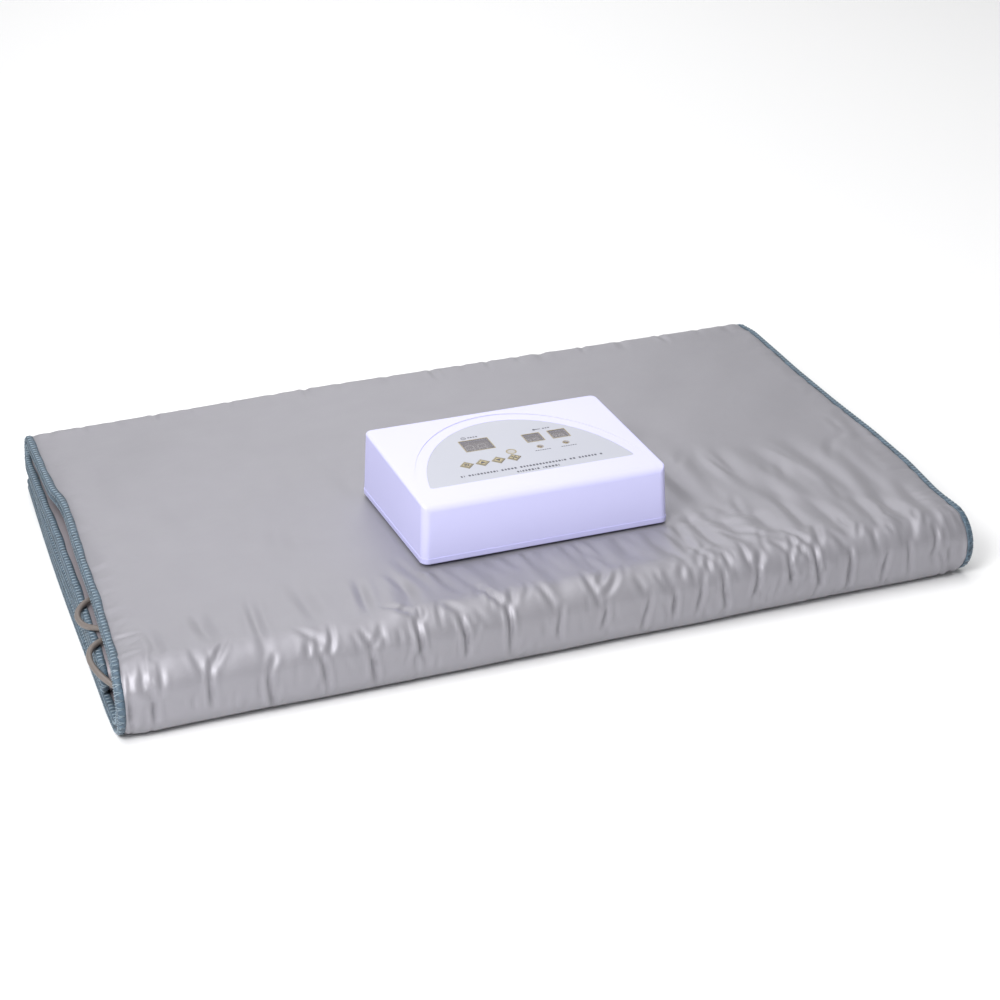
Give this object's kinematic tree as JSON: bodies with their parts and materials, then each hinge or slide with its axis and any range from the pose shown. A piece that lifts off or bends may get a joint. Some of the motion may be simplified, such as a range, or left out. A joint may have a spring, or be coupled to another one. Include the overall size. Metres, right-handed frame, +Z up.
{
  "type": "infrared sauna blanket",
  "caption": "Zip-up far-infrared heating blanket with bound edges, folded in four, with two heater leads and a separate wedge-shaped control box resting on it.",
  "frame": {"origin": "on the floor under the middle of the folded blanket", "axes": "+X along the front roll towards the right edge seen from the front, +Y from the front roll to the back fold, +Z up"},
  "size_m": [0.9357, 0.5969, 0.1439],
  "materials": {
    "cover_cloth": "satin",
    "wadding": "matte",
    "heater_mat": "matte",
    "binding_tape": "satin",
    "zip_teeth": "satin",
    "lead_sheath": "satin",
    "gland_rubber": "matte",
    "plug_metal": "polished",
    "case_plastic": "satin",
    "base_plastic": "satin",
    "label_film": "satin",
    "smoked_window": "polished",
    "key_gold": "satin",
    "led_lens": "polished",
    "display_body": "satin",
    "circuit_board": "satin",
    "black_plastic": "satin",
    "relay_plastic": "satin",
    "capacitor_sleeve": "satin",
    "core_steel": "matte",
    "coil_copper": "satin",
    "ribbon_grey": "satin",
    "screw_steel": "satin",
    "contact_brass": "polished",
    "foot_rubber": "matte",
    "fuse_glass": "polished",
    "thermostat_metal": "satin"
  },
  "bodies": {
    "blanket": {"lower_pad_cover": "cover_cloth", "upper_pad_cover": "cover_cloth", "lower_pad_wadding": "wadding", "upper_pad_wadding": "wadding", "lower_pad_heater_zone_1": "heater_mat", "lower_pad_heater_zone_2": "heater_mat", "upper_pad_heater_zone_1": "heater_mat", "upper_pad_heater_zone_2": "heater_mat", "lower_pad_binding": "binding_tape", "upper_pad_binding": "binding_tape", "left_zip": "zip_teeth", "right_zip": "zip_teeth", "zone_thermostats": "thermostat_metal", "lead_cable_1": "lead_sheath", "lead_cable_2": "lead_sheath", "lead_hank_1": "lead_sheath", "lead_hank_2": "lead_sheath", "lead_gland_1": "gland_rubber", "lead_gland_2": "gland_rubber", "lead_plug_1": "plug_metal", "lead_plug_2": "plug_metal"},
    "control_box": {"top_housing": "case_plastic", "base_cover": "base_plastic", "rubber_feet": "foot_rubber", "case_screws": "screw_steel", "display_board_screws": "screw_steel", "main_board_screws": "screw_steel", "panel_label": "label_film", "time_window": "smoked_window", "zone_windows": "smoked_window", "receiver_window": "smoked_window", "zone_leds": "led_lens", "display_board": "circuit_board", "time_display": "display_body", "zone_displays": "display_body", "tact_switches": "black_plastic", "infrared_receiver": "black_plastic", "main_board": "circuit_board", "transformer_core": "core_steel", "transformer_coil": "coil_copper", "zone_relays": "relay_plastic", "filter_capacitors": "capacitor_sleeve", "control_chip": "black_plastic", "ribbon_cable": "ribbon_grey", "power_inlet": "black_plastic", "inlet_pins": "contact_brass", "rocker_frame": "black_plastic", "fuse_holder": "black_plastic", "output_socket_1": "plug_metal", "output_socket_2": "plug_metal", "socket_nuts": "plug_metal"},
    "power_key": {"power_key": "key_gold"},
    "up_key": {"up_key": "key_gold"},
    "down_key": {"down_key": "key_gold"},
    "zone_key": {"zone_key": "key_gold"},
    "rocker": {"rocker": "black_plastic"},
    "fuse_cap": {"fuse_cap": "black_plastic", "fuse": "fuse_glass"},
    "lead_ring_1": {"lead_ring_1": "plug_metal"},
    "lead_ring_2": {"lead_ring_2": "plug_metal"}
  },
  "joints": [
    {"name": "box_lift", "type": "slide", "parent": "blanket", "child": "control_box", "axis": [0, 0, 1], "range_m": [0, 0.12]},
    {"name": "power_key_press", "type": "slide", "parent": "control_box", "child": "power_key", "axis": [0, -0.0386, 0.9993], "range_m": [-0.0005, 0], "stiffness_N_per_m": 2500},
    {"name": "up_key_press", "type": "slide", "parent": "control_box", "child": "up_key", "axis": [0, -0.0386, 0.9993], "range_m": [-0.0005, 0], "stiffness_N_per_m": 2500},
    {"name": "down_key_press", "type": "slide", "parent": "control_box", "child": "down_key", "axis": [0, -0.0386, 0.9993], "range_m": [-0.0005, 0], "stiffness_N_per_m": 2500},
    {"name": "zone_key_press", "type": "slide", "parent": "control_box", "child": "zone_key", "axis": [0, -0.0386, 0.9993], "range_m": [-0.0005, 0], "stiffness_N_per_m": 2500},
    {"name": "rocker_tilt", "type": "hinge", "parent": "control_box", "child": "rocker", "pos_m": [0.0435, -0.0148, 0.10996], "axis": [-1, 0, 0], "range_deg": [-14, 0]},
    {"name": "fuse_cap_turn", "type": "hinge", "parent": "control_box", "child": "fuse_cap", "pos_m": [0.0115, -0.0112, 0.1101], "axis": [0, 0.9992, 0.0401], "range_deg": [0, 45]},
    {"name": "lead_ring_1_turn", "type": "hinge", "parent": "blanket", "child": "lead_ring_1", "pos_m": [0.092, -0.255, 0.036], "axis": [1, 0, 0], "continuous": true},
    {"name": "lead_ring_2_turn", "type": "hinge", "parent": "blanket", "child": "lead_ring_2", "pos_m": [-0.199, -0.255, 0.036], "axis": [1, 0, 0], "continuous": true}
  ]
}
